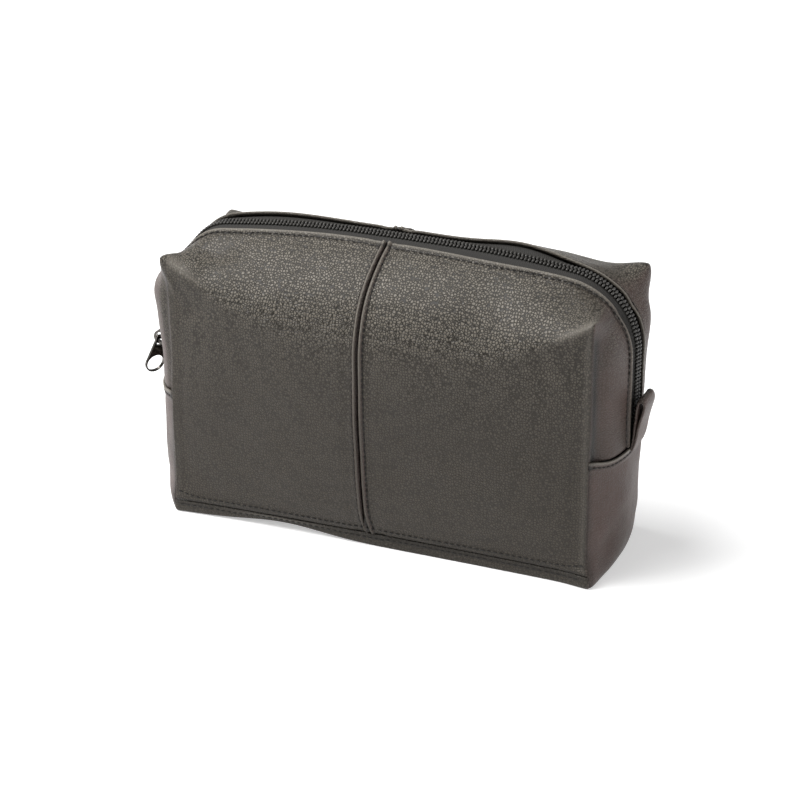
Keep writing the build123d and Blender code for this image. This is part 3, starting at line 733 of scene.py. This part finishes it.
def thicken(obj, thickness, offset=-1, smooth=True, even=False):
    solid = obj.modifiers.new("thickness", "SOLIDIFY")
    solid.thickness, solid.offset, solid.use_quality_normals = thickness * mm, offset, even
    if smooth:
        rounding = obj.modifiers.new("smooth", "SUBSURF")
        rounding.levels = rounding.render_levels = 1
    applyModifiers(obj)


# the leather pieces cut from the skins

def paintGrainAndLight(mesh, upward):
    # painted light: the grain's pale pebbles show most on faces turned up and high on the bag, where the lamps light
    # them, less where the leather is worn and lit, and painted shade dulls them in two spots by the ears
    wearHighlight = mesh.attributes.get("edgeWearAndHighlight")
    wornAndLit = {k: d.value for k, d in enumerate(wearHighlight.data)} if wearHighlight else {}
    values = []
    for v in mesh.vertices:
        x, y, z = v.co / mm
        lit = ramp(-0.05, 0.5, v.normal.z) * upward
        high = ramp(60, 125, z)
        # painted shade by the right ear's zip corner and in the dent beside the left ear
        shadedSpots = 0.65 * bump(0, 13, distanceTo((103, 16, 148), (x, abs(y), z)))
        shadedSpots += 0.5 * bump(0, 8, distanceTo((-92, -20, 147), (x, y, z)))
        values.append((0.14 + 0.24 * high + 0.56 * lit) * (1 - shadedSpots) * (1 - 0.6 * wornAndLit.get(v.index, 0.0)))
    mesh.attributes.new("litGrainShare", "FLOAT", "POINT").data.foreach_set("value", values)
    # and the side lamp's warm light, painted onto the ends by how far they face sideways
    sideTint = mesh.attributes.new("sideLightTint", "FLOAT", "POINT")
    sideTint.data.foreach_set("value", [ramp(0.35, 0.85, abs(v.normal.x)) for v in mesh.vertices])


def cutSkin(name, side, partLeft):
    # one leather panel: the skin on one side of the centre seam
    bm = skins[side].copy()
    drop = [f for f in bm.faces if (f.calc_center_median().x < bagForm["seamX"]) != partLeft]
    bmesh.ops.delete(bm, geom=drop, context="FACES")
    obj = toObject(bm, name, frontLeather)
    thicken(obj, bagForm["leatherThickness"], even=True)
    paintGrainAndLight(obj.data, 1.0)
    return obj


print("leather panels")
bend = {"start": (0, -0.047, 0.040), "end": (0, -0.047, 0.066)}
for part, partLeft in (("left", True), ("right", False)):
    panel = cutSkin(f"front_leather_{part}", -1, partLeft)
    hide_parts(f"front_panel_{part}_lower", f"front_panel_{part}_upper")
    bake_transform(panel, "bag", "front_top", **bend)
    panel = cutSkin(f"back_leather_{part}", 1, partLeft)
    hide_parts(f"back_panel_{part}")
    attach(panel, "bag")


# base and end gussets

# the front of the base stands off the floor at a place along x, over a width
baseForm = {"foot": 36.4, "frontLift": 3.4, "liftPlace": (-53, 30)}


def makeBase():
    bm = bmesh.new()
    wearHighlightLayer, creviceShadeLayer = paintLayers(bm, ("edgeWearAndHighlight", "paintedCreviceShade"))
    xs = np.linspace(-bagForm["creaseHalf"], bagForm["creaseHalf"], 90)
    turn = np.linspace(0, pi / 2, 9)
    net = addGrid(bm, len(xs), 2 * len(turn) + 18)
    for c, x in enumerate(xs):
        foot = baseForm["foot"] - 1.2 * float(swell(x))
        y, z = wallPlace(x, 0.0)
        side = [(foot + (y - foot) * sin(a) ** 0.7, bagForm["baseWrap"] * (1 - cos(a) ** 0.7)) for a in turn]
        rows = [(-p, q) for p, q in reversed(side)] + [(p, 0.0) for p in np.linspace(-foot, foot, 20)[1:-1]] + side
        lift = baseForm["frontLift"] * float(bump(*baseForm["liftPlace"], x))
        for r, (py, pz) in enumerate(rows):
            raised = lift * ramp(-18, -33, py) * (1 - pz / bagForm["baseWrap"])
            net[r][c].co = (x, py + 0.25 * raised, pz + raised)
    setPlaces(bm, spreadFoot(places(bm)))
    faceOut(bm, (0, 0, 0), (0, 0, -1))
    for v in bm.verts:
        # edge wear and painted highlight on the base seam's ridge, and painted shade in the grooves above and below it
        v[wearHighlightLayer] = 0.55 * bump(6.0, 0.7, v.co.z)
        v[creviceShadeLayer] = 0.6 * bump(7.4, 0.6, v.co.z) + 0.5 * bump(4.7, 0.5, v.co.z)
        v.co += v.normal * (0.35 * bump(6.2, 0.7, v.co.z) - 0.3 * bump(4.7, 0.6, v.co.z))
    return bm


hemRow = 63.0                   # height of the hem's stitches


def hemRise(y):
    # the hem climbs a little where it meets the vertical folds
    return 2.6 * bump(38, 8, abs(y)) - 0.6 * bump(22, 9, abs(y))


def makeGusset(end):
    bm = bmesh.new()
    wearHighlightLayer, creviceShadeLayer = paintLayers(bm, ("edgeWearAndHighlight", "paintedCreviceShade"))
    ys = np.linspace(-1, 1, 50)
    zs = np.concatenate([np.linspace(0, 60, 34), np.linspace(60.8, bagForm["hemHeight"], 8)])
    net = addGrid(bm, len(ys), len(zs))
    for r, z in enumerate(zs):
        for c, s in enumerate(ys):
            y = s * float(endPlace(end, z, 0.0)[1])
            rise = hemRise(y) * (z / bagForm["hemHeight"]) ** 3
            net[r][c].co = (float(endPlace(end, z, y)[0]), y, z + rise)
    setPlaces(bm, spreadFoot(places(bm)))
    faceOut(bm, (end * 125, 0, 40), (end, 0, 0))
    for v in list(bm.verts):
        z = v.co.z - hemRise(v.co.y) * (v.co.z / bagForm["hemHeight"]) ** 3
        hem = 0.9 * ramp(60.4, 62.4, z) - 0.5 * bump(hemRow, 0.7, z) + 0.3 * bump(65.2, 0.8, z)
        soft = 0.9 * unevenness(v.co, 24, 5.0) + 0.35 * unevenness(v.co, 9, 2.0)
        soft *= ramp(0, 12, z) * ramp(38, 30, abs(v.co.y))
        if end > 0:
            soft += 0.8 * bump(0, 10, distanceTo((-12, 40), (v.co.y, z)))
            soft -= 1.6 * bump(0, 9, distanceTo((-24, 17), (v.co.y, z)))
        # edge wear and painted highlight on the hem's upper edge; painted shade along the hem's stitches and beside the
        # folds
        v[wearHighlightLayer] = 0.9 * bump(65.4, 0.9, z)
        v[creviceShadeLayer] = 0.7 * bump(hemRow, 0.6, z) + 0.5 * bump(38, 2.0, abs(v.co.y))
        v.co += v.normal * (hem + soft)
    return bm


print("base and gussets")
bm = makeBase()
baseSurface, gussetSurface = BVHTree.FromBMesh(bm), {}
base = toObject(bm, "base_leather", frontLeather)
thicken(base, bagForm["leatherThickness"])
paintGrainAndLight(base.data, 0.5)
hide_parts("base_panel")
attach(base, "bag")
for end, part in ((-1, "left"), (1, "right")):
    bm = makeGusset(end)
    gussetSurface[end] = BVHTree.FromBMesh(bm)
    gusset = toObject(bm, f"gusset_leather_{part}", gussetLeather)
    thicken(gusset, bagForm["leatherThickness"])
    paintGrainAndLight(gusset.data, 0.5)
    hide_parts(f"end_gusset_{part}")
    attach(gusset, "bag")


# lining

liningForm = {"inset": 2.9, "endInset": 3.4, "wallInset": 4.6, "bendRoom": 3.6, "floor": 2.6, "top": 64.8,
              "columns": 120, "squareness": 5.0, "thickness": 0.4}


def makeLowerLining():
    # a pouch: rings from the middle of the floor outwards, then up the walls
    bm = bmesh.new()
    rings = [(share, liningForm["floor"]) for share in (0.0, 0.3, 0.6, 0.85, 0.95)]
    rings += [(1.0, z) for z in np.linspace(liningForm["floor"] + 2.5, liningForm["top"], 22)]
    net = addGrid(bm, liningForm["columns"] + 1, len(rings))
    power = 2 / liningForm["squareness"]
    for r, (share, z) in enumerate(rings):
        level = max(z, bagForm["baseWrap"])
        depth = float(np.polyval(wallFit, level)) - liningForm["wallInset"] - 3.0 * ramp(12, 2, z)
        for c in range(liningForm["columns"] + 1):
            turn = 2 * pi * c / liningForm["columns"]
            end = 1 if cos(turn) >= 0 else -1
            reach = float(endReach(end, level)) - liningForm["endInset"]
            x = end * reach * abs(cos(turn)) ** power * share
            y = (1 if sin(turn) >= 0 else -1) * depth * abs(sin(turn)) ** power * share
            if y < 0:
                y += liningForm["bendRoom"] * bump(54, 12, z) * abs(sin(turn)) ** power * share
            inner = abs(float(endPlace(end, level, y)[0])) - liningForm["endInset"]
            x = end * min(abs(x), inner * share)
            ripple = 0.5 * unevenness((x, y, z), 14, 4.0) * share
            net[r][c].co = (x, y + (ripple if abs(y) < 34 else -abs(ripple) * (1 if y > 0 else -1)), z)
    bmesh.ops.remove_doubles(bm, verts=bm.verts, dist=0.01)
    faceOut(bm, (0, 0, 0), (0, 0, -1))
    return bm


def makeUpperLining(side):
    bm = makeSkin(side)
    shapeSkin(bm, side)
    faceOut(bm, (0, side * 45, 90), (0, side, 0))
    for v in bm.verts:
        # the cloth follows the leather's deep dents
        inward = sum(max(depth, 0) * bump(0, size + 4, distanceTo(spot, v.co)) for *spot, size, depth in dents[side])
        v.co -= v.normal * (liningForm["inset"] + 1.2 * inward)
    drop = [f for f in bm.faces if f.calc_center_median().z <= bagForm["hemHeight"]]
    bmesh.ops.delete(bm, geom=drop, context="FACES")
    return bm


print("lining")
cloth = toObject(makeLowerLining(), "lining_cloth_lower", liningCloth)
thicken(cloth, liningForm["thickness"])
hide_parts("lining_lower")
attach(cloth, "bag")
liningPieces = (("lining_cloth_front", -1, "lining_front", "front_top"), ("lining_cloth_back", 1, "lining_back", "bag"))
for name, side, node, body in liningPieces:
    cloth = toObject(makeUpperLining(side), name, liningCloth)
    thicken(cloth, liningForm["thickness"])
    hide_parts(node)
    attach(cloth, body)


# carried-over nodes get their materials

def dress(node, material):
    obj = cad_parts[node]
    obj.data.materials.clear()
    obj.data.materials.append(material)


for node in ("zip_coil_front_end", "zip_coil_back_end", "zip_bottom_stop"):
    dress(node, coilPlastic)
for node in ("slider_body", "puller"):
    dress(node, darkNickel)


# zip tapes and coils

tapeForm = {"inner": 2.2, "outer": 12.5, "thickness": 0.45, "sink": 0.7, "step": 2.0, "hemGap": 6.5}
coilForm = {"pitch": 1.97, "toothHalf": (0.76, 1.85, 0.85), "across": 2.0, "depth": 0.05,
            "first": {-1: 54.4, 1: 53.4}, "lastGap": 10.4}


def tapeDepth(across, drop):
    # the tape leaves the chain level and dips under the leather's edge
    share = np.clip((across - 3.9) / 4.3, 0, 1)
    return tapeForm["sink"] + (drop + 1.5) * share + 0.45 * np.maximum(across - 8.2, 0)


def makeTape(side):
    bm = bmesh.new()
    across = np.linspace(tapeForm["inner"], tapeForm["outer"], 10)
    runs = np.arange(tapeForm["hemGap"], zipLength - tapeForm["hemGap"], tapeForm["step"])
    net = addGrid(bm, len(across), len(runs))
    for r, run in enumerate(runs):
        x, z, nx, nz = onZip(run)
        depth = tapeDepth(across, float(edgeDrop(x, side)))
        for c, y in enumerate(across):
            net[r][c].co = (x - nx * depth[c], side * y, z - nz * depth[c])
    x, z, nx, nz = onZip(zipLength / 2)
    faceOut(bm, (x, side * 5, z), (0, 0, 1))
    return bm


def addBead(bm, at, axes, halves, around=8, along=6):
    # a rounded bead whose poles lie on its third axis
    turn = Matrix([[a[k] * h for a, h in zip(axes, halves)] for k in range(3)])
    place = Matrix.Translation(at) @ turn.to_4x4()
    bmesh.ops.create_uvsphere(bm, u_segments=around, v_segments=along, radius=1, matrix=place)


def makeCoil(side):
    bm = bmesh.new()
    for run in np.arange(coilForm["first"][side], zipLength - coilForm["lastGap"], coilForm["pitch"]):
        x, z, nx, nz = (float(k) for k in onZip(run))
        at = Vector((x - nx * coilForm["depth"], side * coilForm["across"], z - nz * coilForm["depth"]))
        addBead(bm, at, ((nz, 0, -nx), (0, 1, 0), (nx, 0, nz)), coilForm["toothHalf"])
    return bm


print("zip tapes and coils")
for name, side, body in (("front", -1, "front_top"), ("back", 1, "bag")):
    strip = toObject(makeTape(side), f"tape_{name}", tapeCloth)
    thicken(strip, tapeForm["thickness"], smooth=False)
    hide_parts(f"zip_tape_{name}")
    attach(strip, body)
    chain = toObject(makeCoil(side), f"coil_{name}", coilPlastic)
    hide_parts(f"zip_coil_{name}")
    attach(chain, body)


# finger tab: a strap folded over at its tip, its two ends caught in the hem

tabForm = {
    "half": 9.0, "thickness": 1.3,
    "line": [(124.4, 64.8), (125.3, 67.5), (125.7, 72), (125.9, 77), (126.4, 82.5), (126.7, 88), (127.1, 91.6),
             (128.4, 93.2), (130.0, 92.4), (130.5, 89.6), (129.9, 85.5), (128.5, 80.5), (127.5, 76),
             (127.0, 71.5), (126.1, 67.5), (124.9, 64.4)],
}


def makeTab():
    bm = bmesh.new()
    line = np.array(tabForm["line"])
    steps = np.concatenate([[0], np.cumsum(np.hypot(*np.diff(line, axis=0).T))])
    where = np.linspace(0, steps[-1], 64)
    xs, zs = np.interp(where, steps, line[:, 0]), np.interp(where, steps, line[:, 1])
    for _ in range(4):
        xs[1:-1] = (xs[:-2] + 2 * xs[1:-1] + xs[2:]) / 4
        zs[1:-1] = (zs[:-2] + 2 * zs[1:-1] + zs[2:]) / 4
    ys = np.linspace(-1, 1, 15)
    net = addGrid(bm, len(ys), len(where))
    for r in range(len(where)):
        narrow = 1 - 0.06 * ramp(76, 91, zs[r])
        for c, s in enumerate(ys):
            # the corners of the fold are rounded, and the strap bows a little
            corner = 1.6 * ramp(0.6, 1.0, abs(s)) ** 2 * ramp(84, 91, zs[r])
            bow = 0.5 * (1 - s * s) * ramp(66, 80, zs[r])
            net[r][c].co = (xs[r] + bow, s * tabForm["half"] * narrow, zs[r] - corner)
    faceOut(bm, (130.5, 0, 86), (1, 0, 0))
    return bm


print("finger tab")
strap = toObject(makeTab(), "finger_strap", tabLeather)
thicken(strap, tabForm["thickness"], offset=0)
paintGrainAndLight(strap.data, 0.5)
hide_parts("finger_tab")
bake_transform(strap, "bag", "finger_tab", start=(0.1253, 0, 0.0640), end=(0.1253, 0, 0.0710))


# rows of stitches, laid on the finished skins

stitchForm = {"pitch": 3.3, "half": 1.15, "thick": 0.36, "proud": 0.22}


def sewRow(bm, surface, points, thick=1.0):
    line = np.array(points, dtype=float)
    steps = np.concatenate([[0], np.cumsum(np.sqrt((np.diff(line, axis=0) ** 2).sum(1)))])
    for at in np.arange(stitchForm["pitch"] / 2, steps[-1] - 0.5, stitchForm["pitch"]):
        here = Vector([np.interp(at, steps, line[:, k]) for k in range(3)])
        ahead = Vector([np.interp(at + 0.4, steps, line[:, k]) for k in range(3)])
        spot, normal = surface.find_nearest(here)[:2]
        along = ahead - here
        along = (along - normal * along.dot(normal)).normalized()
        addBead(bm, spot + normal * stitchForm["proud"], (normal.cross(along), normal, along),
                (stitchForm["thick"] * thick, stitchForm["thick"] * thick * 0.8, stitchForm["half"]), around=6, along=5)


def zipRow(side, inset=2.9):
    # beside the zip, from the left hem over the top to the right hem
    across = bagForm["zipOpening"] + inset
    left = [(float(endPlace(-1, z, across)[0]), side * across, z) for z in np.linspace(68, 134, 34)]
    right = [(float(endPlace(1, z, across)[0]), side * across, z) for z in np.linspace(134, 68, 34)]
    top = []
    for x in np.linspace(-110, 110, 111):
        tx, ty, tz = topPlace(x, np.linspace(0, 1, 60), side)
        reach = np.hypot(ty - ty[-1], tz - tz[-1])
        share = np.argmin(np.abs(reach - inset))
        top.append((float(tx[share]), side * float(ty[share]), float(tz[share])))
    return left + top + right


def seamRow(side, beside):
    rows = []
    for share in np.linspace(0.02, 1, 60):
        y, z = wallPlace(bagForm["seamX"] + beside, share, side)
        rows.append((seamLine(z) + beside, side * float(y), float(z)))
    tx, ty, tz = topPlace(bagForm["seamX"] + beside, np.linspace(0.02, 0.95, 40), side)
    return rows + [(float(a), side * float(b), float(c)) for a, b, c in zip(tx, ty, tz)]


def baseRow(side, height):
    share = bagForm["hemShare"] * (height - bagForm["baseWrap"]) / (bagForm["hemHeight"] - bagForm["baseWrap"])
    return [(x, side * float(wallPlace(x, share, side)[0]), height + 2.2 * bump(bagForm["creaseHalf"], 7, abs(x)))
            for x in np.linspace(-111.5, 111.5, 90)]


def hemLine(end):
    return [(float(endPlace(end, hemRow, y)[0]), y, hemRow + hemRise(y)) for y in np.linspace(-36.5, 36.5, 50)]


print("stitches")
for name, side in (("front", -1), ("back", 1)):
    surface = BVHTree.FromBMesh(skins[side])
    bm = bmesh.new()
    sewRow(bm, surface, zipRow(side))
    sewRow(bm, surface, seamRow(side, 3.1))
    sewRow(bm, surface, seamRow(side, -2.9), thick=0.6)
    sewRow(bm, surface, baseRow(side, 10.3))
    thread = toObject(bm, f"stitches_{name}", threadLook)
    if side < 0:
        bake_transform(thread, "bag", "front_top", **bend)
    else:
        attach(thread, "bag")
bm = bmesh.new()
for end in (-1, 1):
    sewRow(bm, gussetSurface[end], hemLine(end))
for side in (-1, 1):
    sewRow(bm, baseSurface, [(x, side * 37, 4.8) for x in np.linspace(-111, 111, 60)], thick=0.8)
thread = toObject(bm, "stitches_base", threadLook)
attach(thread, "bag")


# camera, floor and light

cameraPlace = {"azimuth": 22.44, "elevation": 24.0, "distance": 1.35945, "lens": 119.61,
               "shiftRight": -0.001805, "shiftUp": 0.000665, "aim": (0, 0, 0.0665)}
# strengths that the floor and the world show to the camera and in reflections
studio = {"floorGlow": 0.45, "farGlow": 1.1, "fadeFrom": 0.5, "fadeTo": 1.6, "fill": 0.16, "reflected": 0.45}
# size, power, place and aim
lamps = {
    "keyLamp": (1.2, 43, (-0.70, -0.34, 1.56), (0, 0, 0.08)),
    "sideLamp": (1.0, 6.5, (1.6, -0.1, 0.75), (0, 0, 0.08)),
    "frontLamp": (0.9, 5, (-1.3, -0.9, 0.8), (-0.08, 0, 0.08)),
}


def makeCamera():
    a, e = radians(cameraPlace["azimuth"]), radians(cameraPlace["elevation"])
    back = Vector((sin(a) * cos(e), -cos(a) * cos(e), sin(e)))
    right = Vector((cos(a), sin(a), 0))
    up = back.cross(right)
    camera = bpy.data.objects.new("camera", bpy.data.cameras.new("camera"))
    camera.data.lens = cameraPlace["lens"]
    camera.data.sensor_width = 36
    camera.data.clip_end = 50
    place = Vector(cameraPlace["aim"]) + back * cameraPlace["distance"]
    place += right * cameraPlace["shiftRight"] + up * cameraPlace["shiftUp"]
    turn = Matrix((right, up, back)).transposed()
    camera.matrix_world = Matrix.Translation(place) @ turn.to_4x4()
    bpy.context.scene.collection.objects.link(camera)
    bpy.context.scene.camera = camera


def addLamp(name, size, power, place, aim):
    lamp = bpy.data.lights.new(name, "AREA")
    lamp.shape = "RECTANGLE"
    lamp.size = lamp.size_y = size
    lamp.energy = power
    obj = bpy.data.objects.new(name, lamp)
    direction = (Vector(aim) - Vector(place)).normalized()
    obj.matrix_world = Matrix.Translation(place) @ direction.to_track_quat("-Z", "Y").to_matrix().to_4x4()
    bpy.context.scene.collection.objects.link(obj)


def makeFloor():
    bm = bmesh.new()
    bmesh.ops.create_grid(bm, x_segments=1, y_segments=1, size=6000)
    material, tree, shader, here = newMaterial("paleFloor")
    shader.inputs["Roughness"].default_value = 0.9
    cloud = addNode(tree, "TexNoise", (-700, 0), inputs={"Vector": here, "Scale": 2.0})
    paper = mixColour(tree, (-400, 0), cloud.outputs["Fac"], (0.80, 0.80, 0.80, 1), (0.82, 0.82, 0.82, 1))
    tree.links.new(paper, shader.inputs["Base Color"])
    shader.inputs["Emission Color"].default_value = (1, 1, 1, 1)
    path = addNode(tree, "LightPath", (-700, -300))
    seen = calculate(tree, (-500, -300), "MAXIMUM", path.outputs["Is Camera Ray"], path.outputs["Is Glossy Ray"])
    away = addNode(tree, "VectorMath", (-700, -500), {"operation": "LENGTH"}, {0: here})
    level = mapRange(tree, (-500, -500), away.outputs["Value"], studio["floorGlow"], studio["farGlow"],
                     studio["fadeFrom"], studio["fadeTo"])
    tree.links.new(calculate(tree, (-300, -300), "MULTIPLY", seen, level), shader.inputs["Emission Strength"])
    floor = toObject(bm, "floor", material, smooth=False)


def makeWorld():
    world = bpy.data.worlds.new("studio")
    bpy.context.scene.world = world
    world.use_nodes = True
    tree = world.node_tree
    back = tree.nodes["Background"]
    back.inputs["Color"].default_value = (1, 1, 1, 1)
    path = addNode(tree, "LightPath", (-700, 0))
    shiny = calculate(tree, (-500, -100), "MULTIPLY", path.outputs["Is Glossy Ray"], studio["reflected"])
    seen = calculate(tree, (-340, 0), "MAXIMUM", path.outputs["Is Camera Ray"], shiny)
    tree.links.new(calculate(tree, (-180, 0), "MAXIMUM", seen, studio["fill"]), back.inputs["Strength"])


print("camera, floor and light")
makeCamera()
makeFloor()
makeWorld()
for name, (size, power, place, aim) in lamps.items():
    addLamp(name, size, power, place, aim)
bpy.context.scene.view_settings.view_transform = "Standard"
